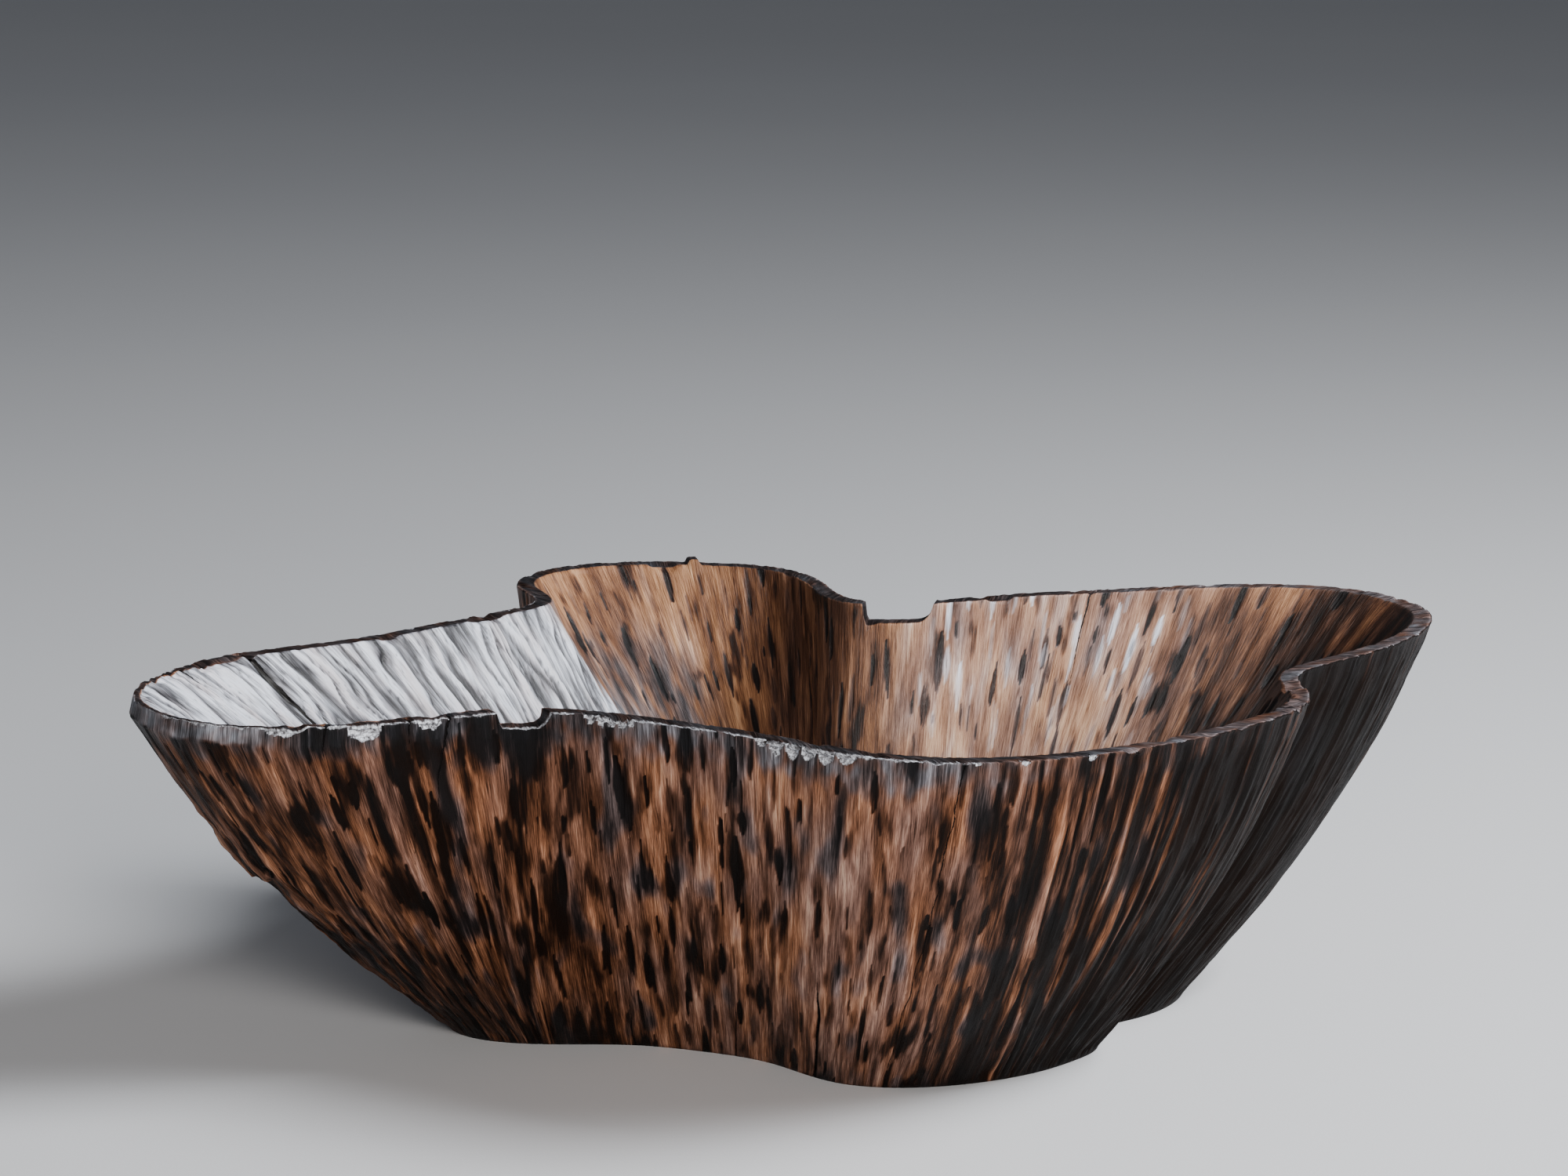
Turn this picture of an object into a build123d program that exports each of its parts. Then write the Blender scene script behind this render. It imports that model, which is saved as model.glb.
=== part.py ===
"""Free-form bowl carved from one piece of dark brushed wood.

Millimetres, +Z up. The origin is on the surface the bowl stands on, under the middle
of the rim's outline. +X is the long way, -Y is the front.
"""

import os
from math import sqrt

from build123d import *

# Overall sizes
LENGTH = 490.0
WIDTH = 352.0
HEIGHT = 145.0

# Wood left by the carving
RIM_WIDTH = 8.0
FLOOR_THICKNESS = 20.0

# Profile: the outside bulges between foot and rim, the cavity curves in to its floor
BULGE = 0.42
CAVITY_ROUNDING = 0.15

# Bevel broken off the outer edge of the rim, round the left end
BEVEL_DROP = 8.0
BEVEL_WIDTH = 5.0
EASED_EDGE = 0.6

# Notches in the rim, measured along X, and their distance from the middle
FRONT_NOTCH_AT = -0.2 * LENGTH
FRONT_NOTCH_WIDTH = 18.0
FRONT_NOTCH_DEPTH = 6.0
BACK_NOTCH_AT = 0.079 * LENGTH
BACK_NOTCH_WIDTH = 28.0
BACK_NOTCH_DEPTH = 7.0
NOTCH_RAMP = 7.0
NOTCH_SIDE_LEAN = 1.0
NOTCH_CUT_START = 0.14 * WIDTH
ABOVE_RIM = 2.0

# Where the level outlines are drawn, as shares of the height of each surface. Those of
# the cavity lie closer together where it curves in to its floor.
SHOULDER = HEIGHT - BEVEL_DROP
OUTSIDE_SHARES = [level / 8 for level in range(9)]
CAVITY_SHARES = (0, 0.02, 0.06, 0.14, 0.28, 0.42, 0.56, 0.7, 0.85, 1)

# The outlines, counterclockwise from the left end. Each row is one station round the
# bowl: its rim point, its foot point and its point on the cavity floor, as fractions
# of the length and the width.
STATIONS = (
    # left lobe
    ((-0.500, -0.205), (-0.273, 0.006), (-0.165, 0.000)),
    ((-0.467, -0.293), (-0.259, -0.040), (-0.157, -0.023)),
    ((-0.382, -0.358), (-0.214, -0.068), (-0.137, -0.040)),
    ((-0.280, -0.330), (-0.157, -0.071), (-0.108, -0.048)),
    # front, from the shallow dip to the front lobe
    ((-0.202, -0.287), (-0.116, -0.077), (-0.084, -0.051)),
    ((-0.116, -0.327), (-0.071, -0.099), (-0.055, -0.063)),
    ((-0.035, -0.398), (-0.022, -0.139), (-0.022, -0.082)),
    ((0.043, -0.477), (0.027, -0.205), (0.018, -0.108)),
    ((0.118, -0.500), (0.084, -0.219), (0.063, -0.119)),
    ((0.200, -0.469), (0.145, -0.193), (0.108, -0.111)),
    ((0.312, -0.352), (0.202, -0.131), (0.149, -0.080)),
    ((0.361, -0.256), (0.222, -0.091), (0.165, -0.045)),
    # crease between the front lobe and the right lobe
    ((0.371, -0.176), (0.224, -0.057), (0.169, -0.017)),
    ((0.369, -0.119), (0.224, -0.023), (0.173, 0.006)),
    # right lobe
    ((0.402, -0.054), (0.249, 0.011), (0.184, 0.023)),
    ((0.471, 0.068), (0.292, 0.080), (0.196, 0.057)),
    ((0.500, 0.205), (0.304, 0.159), (0.194, 0.085)),
    ((0.467, 0.318), (0.284, 0.210), (0.169, 0.108)),
    ((0.363, 0.366), (0.218, 0.227), (0.133, 0.119)),
    ((0.251, 0.335), (0.153, 0.205), (0.096, 0.119)),
    ((0.149, 0.298), (0.096, 0.170), (0.063, 0.114)),
    # crease between the right lobe and the back lobe
    ((0.088, 0.267), (0.059, 0.142), (0.043, 0.108)),
    ((0.051, 0.270), (0.031, 0.148), (0.029, 0.105)),
    # back lobe
    ((0.022, 0.358), (0.002, 0.182), (0.016, 0.110)),
    ((-0.018, 0.463), (-0.027, 0.216), (0.006, 0.116)),
    ((-0.096, 0.497), (-0.067, 0.233), (-0.004, 0.119)),
    ((-0.178, 0.486), (-0.108, 0.227), (-0.014, 0.116)),
    ((-0.229, 0.415), (-0.133, 0.193), (-0.022, 0.108)),
    ((-0.231, 0.335), (-0.137, 0.165), (-0.033, 0.097)),
    # crease between the back lobe and the left lobe
    ((-0.216, 0.273), (-0.141, 0.136), (-0.045, 0.085)),
    # back of the left lobe
    ((-0.263, 0.182), (-0.173, 0.108), (-0.078, 0.063)),
    ((-0.351, 0.063), (-0.214, 0.080), (-0.114, 0.043)),
    ((-0.447, -0.028), (-0.251, 0.051), (-0.147, 0.028)),
    ((-0.490, -0.114), (-0.271, 0.028), (-0.163, 0.017)),
)
BEVELLED_STATIONS = (33, 0, 1, 2)


def in_plan(point):
    return Vector(point[0] * LENGTH, point[1] * WIDTH, 0)


RIM = [in_plan(station[0]) for station in STATIONS]
FOOT = [in_plan(station[1]) for station in STATIONS]
FLOOR = [in_plan(station[2]) for station in STATIONS]


def spacing(points):
    """Distance round the closed outline at which each point lies, back to the start."""
    total, at = 0.0, [0.0]
    for i, point in enumerate(points):
        total += (points[(i + 1) % len(points)] - point).length
        at.append(total)
    return at


def inward(points):
    """Level directions into the bowl, square to the closed outline at each point."""
    count = len(points)
    found = []
    for i in range(count):
        before = points[i] - points[i - 1]
        after = points[(i + 1) % count] - points[i]
        along = before * (1 / before.length) + after * (1 / after.length)
        found.append(Vector(-along.Y, along.X, 0).normalized())
    return found


RIM_SPACING = spacing(RIM)
RIM_INWARD = inward(RIM)


def section(points, height):
    """A closed smooth outline as a face, with the stations matched from face to face."""
    raised = [point + Vector(0, 0, height) for point in points]
    edge = Edge.make_spline(raised, periodic=True, parameters=RIM_SPACING)
    return Face(Wire([edge]))


def outside(height):
    share = height / HEIGHT
    share = (1 + BULGE) * share - BULGE * share * share
    return [foot + (rim - foot) * share for foot, rim in zip(FOOT, RIM)]


def rim_top():
    """The outer edge of the rim's top, set in at the eased edge and at the bevel."""
    points = []
    for i, point in enumerate(RIM):
        width = BEVEL_WIDTH if i in BEVELLED_STATIONS else EASED_EDGE
        points.append(point + RIM_INWARD[i] * width)
    return points


def cavity(height):
    depth = (HEIGHT - height) / (HEIGHT - FLOOR_THICKNESS)
    curved = 1 - sqrt(max(0.0, 1 - depth * abs(depth)))
    share = (1 - CAVITY_ROUNDING) * depth + CAVITY_ROUNDING * curved
    points = []
    for rim, to_inside, floor in zip(RIM, RIM_INWARD, FLOOR):
        edge = rim + to_inside * RIM_WIDTH
        points.append(edge + (floor - edge) * share)
    return points


def notch_face(width, depth):
    """A notch seen from the front: steep on the left, a hollow ramp on the right."""
    left, right = -width / 2, width / 2
    ramp_foot = (right - NOTCH_RAMP, -depth)
    hollow = (right - 0.3 * NOTCH_RAMP, -0.7 * depth)
    with BuildSketch() as notch:
        with BuildLine():
            Line((left, ABOVE_RIM), (left, 0))
            Line((left, 0), (left + NOTCH_SIDE_LEAN, -depth))
            Line((left + NOTCH_SIDE_LEAN, -depth), ramp_foot)
            ThreePointArc(ramp_foot, hollow, (right, 0))
            Line((right, 0), (right, ABOVE_RIM))
            Line((right, ABOVE_RIM), (left, ABOVE_RIM))
        make_face()
    return notch.sketch


with BuildPart() as bowl:
    # Outside, from the foot to the shoulder of the rim, then the bevelled rim band
    loft([section(outside(SHOULDER * share), SHOULDER * share) for share in OUTSIDE_SHARES])
    loft([section(outside(SHOULDER), SHOULDER), section(rim_top(), HEIGHT)], ruled=True)
    # Cavity
    heights = [
        FLOOR_THICKNESS + (HEIGHT + ABOVE_RIM - FLOOR_THICKNESS) * share
        for share in CAVITY_SHARES
    ]
    loft([section(cavity(height), height) for height in heights], mode=Mode.SUBTRACT)
    # Notches, each cut outward from inside the cavity
    with BuildSketch(Plane((FRONT_NOTCH_AT, -NOTCH_CUT_START, HEIGHT), (1, 0, 0), (0, -1, 0))):
        add(notch_face(FRONT_NOTCH_WIDTH, FRONT_NOTCH_DEPTH))
    extrude(amount=WIDTH / 2, mode=Mode.SUBTRACT)
    with BuildSketch(Plane((BACK_NOTCH_AT, NOTCH_CUT_START, HEIGHT), (1, 0, 0), (0, -1, 0))):
        add(notch_face(BACK_NOTCH_WIDTH, BACK_NOTCH_DEPTH))
    extrude(amount=-WIDTH / 2, mode=Mode.SUBTRACT)

bowl.part.label = "bowl"

os.makedirs("parts", exist_ok=True)
export_step(bowl.part, "parts/bowl.step")
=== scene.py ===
"""Looks of the free-form carved wooden bowl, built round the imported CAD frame.

The bowl's visible mesh is drawn along its grain: each column of the grid follows one grain
line from foot to rim and down into the cavity, on surfaces measured from the CAD solid.
Relief, cracks and chips are then worked into that grid. Metres, +Z up, -Y is the front.
"""

import math

import bpy
import numpy as np
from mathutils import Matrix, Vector, geometry
from mathutils.bvhtree import BVHTree


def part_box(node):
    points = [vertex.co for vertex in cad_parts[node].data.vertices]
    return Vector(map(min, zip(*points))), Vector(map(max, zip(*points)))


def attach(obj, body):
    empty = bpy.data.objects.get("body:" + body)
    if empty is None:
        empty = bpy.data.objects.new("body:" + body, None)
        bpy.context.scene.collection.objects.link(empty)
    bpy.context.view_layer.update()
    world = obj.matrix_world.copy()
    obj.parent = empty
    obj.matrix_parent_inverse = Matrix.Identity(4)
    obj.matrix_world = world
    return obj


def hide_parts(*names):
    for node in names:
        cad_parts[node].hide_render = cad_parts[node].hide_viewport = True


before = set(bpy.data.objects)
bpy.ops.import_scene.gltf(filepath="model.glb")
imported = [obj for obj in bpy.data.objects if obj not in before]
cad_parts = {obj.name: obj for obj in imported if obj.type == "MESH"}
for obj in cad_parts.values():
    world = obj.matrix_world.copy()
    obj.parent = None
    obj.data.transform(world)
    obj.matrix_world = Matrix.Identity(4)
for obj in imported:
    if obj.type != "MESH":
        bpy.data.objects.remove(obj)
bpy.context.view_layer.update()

MM = 0.001
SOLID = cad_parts["bowl"]
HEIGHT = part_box("bowl")[1][2]

# Where grain lines run, as bearings in degrees from the axis: at the rim, at the foot, and
# on the cavity floor
AXIS = np.array([0.003, -0.006])
GRAIN = (
    (195, 172, 172),
    (204, 177, 180),
    (212, 184, 187),
    (217, 189, 191),
    (223, 191.5, 195),
    (232, 196.5, 202),
    (241, 205.5, 208),
    (251, 221, 222),
    (261, 242, 239),
    (270, 269, 265),
    (276, 279.5, 280),
    (288, 296, 308),
    (301, 316, 326),
    (322, 335, 342),
    (343, 351, 352),
    (349, 357, 357),
    (367, 372, 366),
    (378, 384, 373),
    (398, 400, 385),
    (418, 416, 406),
    (438, 438, 434),
    (447, 452, 444),
    (465, 472, 456),
    (487, 493, 467),
    (497, 503, 485),
    (512, 508, 506),
    (531, 518, 520),
    (541, 523, 526),
)

# Scalloped chips along the rim's outer edge: rim bearing, half width in degrees, drop in mm
CHIPS = (
    (212.5, 1.2, 3),
    (216.3, 0.7, 6),
    (218.4, 0.3, 4),
    (231.8, 0.8, 3.5),
    (233.6, 0.7, 4),
    (235.4, 0.9, 4.5),
    (237.5, 1.0, 4),
    (239.2, 0.5, 3),
    (262.3, 0.9, 3),
    (264.6, 1.1, 4.5),
    (267.0, 1.0, 5),
    (269.2, 1.0, 4.5),
    (271.4, 1.1, 5),
    (273.8, 1.2, 4),
    (288.0, 0.35, 1.8),
    (293.0, 0.4, 2),
    (300.6, 0.4, 2),
)

# Drying cracks along the grain: rim bearing in degrees, side of the wall, and then in mm the
# depths below the rim where it starts and ends, its drift round the bowl on the way down, and
# its width. One that ends lower than the bowl is high runs out at the foot.
CRACKS = (
    (214.6, "out", 0, 12, -2, 1.0),
    (217.9, "out", 0, 9, -1, 0.8),
    (219.0, "out", 0, 42, -14, 1.1),
    (217.6, "out", 34, 58, -9, 0.6),
    (286.5, "out", 0, 190, -15, 0.5),
    (271.0, "out", 92, 200, 0, 1.7),
    (219.5, "out", 122, 190, 0, 0.8),
    (233.0, "out", 118, 190, 0, 0.8),
    (256.0, "out", 114, 190, 0, 0.7),
    (179.5, "in", 0, 62, 8, 3.2),
    (186.0, "in", 0, 22, 0, 0.8),
    (46.7, "in", 0, 44, 0, 0.9),
)

# The distance across a crack, in mm, that stands for no crack near
NO_CRACK = 9.0

# The grid: columns round the bowl, and rows up the outside, across the rim and down inside
COLUMNS = 1600
OUTSIDE_ROWS = 136
RIM_ROWS = 9
INSIDE_ROWS = 114

# The level outlines measured on the solid, with their counts up to the shoulder, from it to
# the rim and in the cavity. The shoulder is where the rim's bevel starts, and the wall is
# bridged across the notches from there up.
BEARINGS = 2880
ANGLES = np.arange(BEARINGS) * 2 * math.pi / BEARINGS
SHOULDER = HEIGHT - 8 * MM
OUTER_LEVELS = 30
SHOULDER_LEVELS = 9
INNER_LEVELS = 36
OFF_THE_FLAT = 0.3 * MM
OFF_THE_RIM = 0.1 * MM

# Passes that widen the bridged stretches, one bearing at each end, and that ease the columns
NOTCH_WIDENING = 14
GRAIN_SOFTENING = 24

# Grain space wraps round a circle of about the rim's length, in metres
RIM_LENGTH = 1.5

# Seeds: the base of them all, and those of the drift that relief and colour share
SEED = 7
OUTER_SWAY = 11
INNER_SWAY = 24

# The front right of the outer wall, where the strokes are long furrows: first and last rim
# bearing, and the degrees over which they give way to short ones
FURROWED = (303, 354, 22)

# The two flat caps: the grid's row that they close, the spacing of their inner points, which
# way the grain's run goes on from the wall, their seed, and whether they face up
CAPS = (
    (0, 4 * MM, -1, 71, False),
    (-1, 2.5 * MM, 1, 81, True),
)

# The stage: half the floor's width, the camera's place, its tilt down in degrees, and its lens
# and sensor in mm
FLOOR_HALF = 16.0
CAMERA_PLACE = (-0.007, -1.583, 0.488)
CAMERA_TILT = 11.4
LENS = 99.8
SENSOR_WIDTH = 36


# ---------------------------------------------------------------- noise


def noise(points, seed):
    """Smooth gradient noise from about -1 to 1 at an array of points, one cell per unit."""
    size = 64
    to_full_range = 1.6
    rng = np.random.default_rng(SEED * 1000 + seed)
    slopes = rng.normal(size=(size, size, size, 3))
    slopes /= np.linalg.norm(slopes, axis=3, keepdims=True)
    cell = np.floor(points).astype(np.int64)
    local = points - cell
    ease = local**3 * (local * (local * 6 - 15) + 10)
    total = np.zeros(points.shape[:-1])
    for corner in np.ndindex(2, 2, 2):
        corner = np.array(corner)
        index = (cell + corner) % size
        slope = slopes[index[..., 0], index[..., 1], index[..., 2]]
        weight = np.prod(np.where(corner, ease, 1 - ease), axis=-1)
        total += weight * ((local - corner) * slope).sum(-1)
    return total * to_full_range


def layered(points, seed, layers=3, gain=0.5):
    """Noise summed over finer and finer layers."""
    total, size, reach = 0, 1.0, 0.0
    for layer in range(layers):
        total = total + size * noise(points * 2.0**layer, seed + layer)
        reach += size
        size *= gain
    return total / reach


def smooth_step(low, high, value):
    """0 where a value is at low, 1 where it is at high, and an eased share between."""
    share = np.clip((value - low) / (high - low), 0, 1)
    return share * share * (3 - 2 * share)


# ---------------------------------------------------------------- surfaces of the solid


def solid_tree():
    """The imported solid's faces, ready for ray casts."""
    mesh = SOLID.data
    points = [vertex.co.copy() for vertex in mesh.vertices]
    return BVHTree.FromPolygons(points, [face.vertices[:] for face in mesh.polygons])


def cast_outline(tree, height, outside):
    """The wall's outline at one height, as distances from the axis at even bearings."""
    reach = 0.6
    radii = np.full(BEARINGS, np.nan)
    for i, angle in enumerate(ANGLES):
        way = Vector((math.cos(angle), math.sin(angle), 0))
        start = Vector((AXIS[0], AXIS[1], height))
        if outside:
            start = start + way * reach
            way = -way
        distance = tree.ray_cast(start, way, reach)[3]
        if distance is not None:
            radii[i] = reach - distance if outside else distance
    return radii


def cast_tops(tree, outer, inner):
    """Height of the rim at even bearings, measured down onto the middle of the wall."""
    out_from_shoulder = 3 * MM
    tops = np.full(BEARINGS, HEIGHT)
    for i, angle in enumerate(ANGLES):
        radius = (outer[i] + inner[i]) / 2 + out_from_shoulder
        start = (AXIS[0] + radius * math.cos(angle), AXIS[1] + radius * math.sin(angle), 2 * HEIGHT)
        place = tree.ray_cast(Vector(start), Vector((0, 0, -1)))[0]
        if place is not None:
            tops[i] = max(place.z, SHOULDER)
    return tops


def bridged(radii, shoulder_radii, missing):
    """Radii with the gaps at the notches filled in, following the unbroken wall below."""
    known = np.flatnonzero(~missing & ~np.isnan(radii))
    share = radii[known] / shoulder_radii[known]
    at = np.concatenate([known - BEARINGS, known, known + BEARINGS])
    return shoulder_radii * np.interp(np.arange(BEARINGS), at, np.tile(share, 3))


def around(values, index):
    """A periodic series read at fractional places."""
    count = len(values)
    return np.interp(np.asarray(index) % count, np.arange(count + 1), np.append(values, values[0]))


def at_bearing(radii, degrees):
    """Points on a level outline at the given bearings from the axis."""
    radius = around(radii, np.asarray(degrees) / 360 * BEARINGS)
    angle = np.radians(degrees)
    return AXIS + radius[:, None] * np.stack([np.cos(angle), np.sin(angle)], 1)


def bearing(points):
    """Bearings of points from the axis, in degrees."""
    away = points - AXIS
    return np.degrees(np.arctan2(away[:, 1], away[:, 0])) % 360


def softened(rows, passes):
    """Rows of points eased along each row, which is closed."""
    for _ in range(passes):
        rows = (np.roll(rows, 1, 1) + 2 * rows + np.roll(rows, -1, 1)) / 4
    return rows


def crossing(points, low, rim, guess):
    """Where a closed outline crosses the upright plane through a low point and a rim point.

    Gives the place along the outline and the share of the way from low to rim nearest a guess.
    """
    way = rim - low
    away = points - low
    side = way[0] * away[:, 1] - way[1] * away[:, 0]
    along = away @ way / (way @ way)
    side_after, along_after = np.roll(side, -1), np.roll(along, -1)
    hits = np.flatnonzero((side < 0) != (side_after < 0))
    part = side[hits] / (side[hits] - side_after[hits])
    shares = along[hits] + part * (along_after[hits] - along[hits])
    best = np.argmin(np.abs(shares - guess))
    return hits[best] + part[best], shares[best]


def grain_columns(outlines, low_column):
    """Points where every grain column crosses every measured outline.

    The columns start at the rim's bearings in GRAIN and end at those of its low column.
    """
    rim_points = at_bearing(outlines[-1], np.array([line[0] for line in GRAIN], float))
    low_points = at_bearing(outlines[0], np.array([line[low_column] for line in GRAIN], float))
    guesses = np.ones(len(GRAIN))
    spacing, rows = None, []
    for radii in outlines[::-1]:
        points = AXIS + radii[:, None] * np.stack([np.cos(ANGLES), np.sin(ANGLES)], 1)
        found = [crossing(points, *line) for line in zip(low_points, rim_points, guesses)]
        marks = np.array([place for place, _share in found])
        guesses = np.array([share for _place, share in found])
        steps = np.linalg.norm(np.roll(points, -1, 0) - points, axis=1)
        places = np.concatenate([[0], np.cumsum(steps)])
        turn = places[-1]
        at_marks = np.unwrap(np.interp(marks, np.arange(BEARINGS + 1), places), period=turn)
        at_marks = np.append(at_marks, at_marks[0] + turn)
        if spacing is None:
            spacing = (at_marks - at_marks[0]) / turn
        wanted = np.interp(np.arange(COLUMNS) / COLUMNS, spacing, at_marks) % turn
        index = np.interp(wanted, places, np.arange(BEARINGS + 1))
        rows.append(np.stack([around(points[:, axis], index) for axis in (0, 1)], 1))
    return softened(np.array(rows[::-1]), GRAIN_SOFTENING)


def read_grid(heights, rows, wanted):
    """Points of every column at its own wanted height."""
    place = np.interp(wanted, heights, np.arange(len(heights)))
    below = np.clip(place.astype(int), 0, len(heights) - 2)
    share = (place - below)[:, None]
    column = np.arange(COLUMNS)
    level = rows[below, column] * (1 - share) + rows[below + 1, column] * share
    return np.column_stack([level, wanted])


def measure(tree):
    """The rim's height all round, and the heights and outlines of the wall's two sides."""
    floor = tree.ray_cast(Vector((AXIS[0], AXIS[1], HEIGHT)), Vector((0, 0, -1)))[0].z
    below = np.linspace(OFF_THE_FLAT, SHOULDER, OUTER_LEVELS)
    above = np.linspace(SHOULDER, HEIGHT, SHOULDER_LEVELS)[1:]
    outer_heights = np.concatenate([below, above])
    outer_heights[-1] -= OFF_THE_RIM
    shares = np.linspace(0, 1, INNER_LEVELS) ** 1.5
    inner_heights = floor + (HEIGHT - OFF_THE_RIM - floor) * shares
    inner_heights[0] += OFF_THE_FLAT
    outer = [cast_outline(tree, height, True) for height in outer_heights]
    inner = [cast_outline(tree, height, False) for height in inner_heights]
    first_above = OUTER_LEVELS, np.searchsorted(inner_heights, SHOULDER)
    shoulders = [wall[first - 1] for wall, first in zip((outer, inner), first_above)]
    tops = cast_tops(tree, *shoulders)
    notched = tops < HEIGHT - OFF_THE_FLAT
    for _ in range(NOTCH_WIDENING):
        notched = notched | np.roll(notched, 1) | np.roll(notched, -1)
    for wall, first, shoulder in zip((outer, inner), first_above, shoulders):
        wall[first:] = [bridged(radii, shoulder, notched) for radii in wall[first:]]
    return tops, (outer_heights, np.array(outer)), (inner_heights, np.array(inner))


# ---------------------------------------------------------------- the bowl's smooth surface


def draw_grid():
    """The bowl's smooth surface as rows of points: up the outside, over the rim, down inside.

    Also gives the rim's height at every column.
    """
    tree = solid_tree()
    tops, (outer_heights, outer), (inner_heights, inner) = measure(tree)
    outer_rows = grain_columns(outer, 1)
    inner_rows = grain_columns(inner, 2)
    middle = (outer_rows[-1] + inner_rows[-1]) / 2
    column_tops = around(tops, bearing(middle) / 360 * BEARINGS)
    rows = []
    for share in 1 - np.linspace(1, 0, OUTSIDE_ROWS) ** 1.25:
        heights = outer_heights[0] + share * (column_tops - outer_heights[0])
        rows.append(read_grid(outer_heights, outer_rows, heights))
    outer_edge = rows[-1]
    inner_edge = read_grid(inner_heights, inner_rows, column_tops)
    for share in np.linspace(0, 1, RIM_ROWS + 2)[1:-1]:
        rows.append(outer_edge * (1 - share) + inner_edge * share)
    for share in 1 - np.linspace(0, 1, INSIDE_ROWS) ** 1.2:
        heights = inner_heights[0] + share * (column_tops - inner_heights[0])
        rows.append(read_grid(inner_heights, inner_rows, heights))
    return np.array(rows), column_tops


def eased_rim(rows):
    """The rim's two edges rounded over by smoothing the rows beside them."""
    for edge in (OUTSIDE_ROWS - 1, OUTSIDE_ROWS + RIM_ROWS):
        window = slice(edge - 2, edge + 3)
        for _ in range(2):
            eased = rows.copy()
            eased[1:-1] = (rows[:-2] + 2 * rows[1:-1] + rows[2:]) / 4
            rows[window] = eased[window]
    return rows


def grid_normals(rows):
    """Unit normals of the grid, out of the wood."""
    along = np.gradient(rows, axis=0)
    across = (np.roll(rows, -1, 1) - np.roll(rows, 1, 1)) / 2
    normals = np.cross(across, along)
    return normals / np.maximum(np.linalg.norm(normals, axis=2, keepdims=True), 1e-12)


def grain_run(rows, tops):
    """Distance along the grain lines: below 0 outside, 0 at the outer edge of a whole rim."""
    steps = np.linalg.norm(np.diff(rows, axis=0), axis=2)
    run = np.concatenate([np.zeros((1, COLUMNS)), np.cumsum(steps, axis=0)])
    run = run - run[OUTSIDE_ROWS - 1]
    missing = HEIGHT - tops
    outside = np.arange(len(rows)) < OUTSIDE_ROWS
    return run + np.where(outside[:, None], -missing, missing)


def wrapped(arc, run):
    """Grain space: a place round the rim and a run along the grain, with no seam."""
    radius = RIM_LENGTH / (2 * math.pi)
    angle = arc / radius
    return np.stack([radius * np.cos(angle), radius * np.sin(angle), run], -1)


def grain_noise(arc, run, across, along, seed, layers=1):
    """Noise with marks of the given width across the grain and length along it, in mm."""
    points = wrapped(arc, run) / (np.array([across, across, along]) * MM)
    return layered(points, seed, layers)


# ---------------------------------------------------------------- places on the bowl


class Place:
    """Every grid point's place on the bowl, as fields that the carving and colours read."""

    def __init__(self, rows, tops):
        self.rows = rows
        self.normals = grid_normals(rows)
        shape = rows.shape[:2]
        index = np.arange(len(rows))[:, None]
        self.arc = np.broadcast_to(RIM_LENGTH * np.arange(COLUMNS) / COLUMNS, shape)
        self.run = grain_run(rows, tops)
        self.outside = np.broadcast_to(index < OUTSIDE_ROWS, shape)
        self.inside = np.broadcast_to(index >= OUTSIDE_ROWS + RIM_ROWS, shape)
        self.rim = ~(self.outside | self.inside)
        self.turn = np.broadcast_to(bearing(rows[OUTSIDE_ROWS - 1][:, :2]), shape)
        self.height = rows[:, :, 2] / MM
        self.below_rim = np.broadcast_to(tops / MM, shape) - self.height
        across_rim = (index - OUTSIDE_ROWS + 1) / (RIM_ROWS + 1) + np.zeros(shape)
        narrowing = 3.6
        self.edge_share = np.clip(1 - narrowing * across_rim, 0, 1)
        self.inner_share = np.clip(1 - narrowing * (1 - across_rim), 0, 1)

    def noise(self, across, along, seed, layers=1, shift=0):
        """Grain noise at every grid point, moved round the bowl by a shift in mm."""
        return grain_noise(self.arc + shift * MM, self.run, across, along, seed, layers)

    def sway(self, seed):
        """Slow sideways drift of the marks along the grain, in mm."""
        return 2.5 * self.noise(30, 60, seed)

    def degrees_from(self, middle):
        """Degrees round the rim from a bearing."""
        return np.abs((self.turn - middle + 180) % 360 - 180)

    def stretch(self, start, end, blur, waver=0):
        """1 where the rim bearing lies from start to end degrees, easing off over blur."""
        middle, half = (start + end) / 2, (end - start) / 2
        return 1 - smooth_step(half, half + blur, self.degrees_from(middle) + waver)

    def edged(self, start, end, blur, seed):
        """A stretch whose ends waver with the grain."""
        return self.stretch(start, end, blur, 2.6 * self.noise(6, 30, seed, 2))


# ---------------------------------------------------------------- carving


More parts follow.
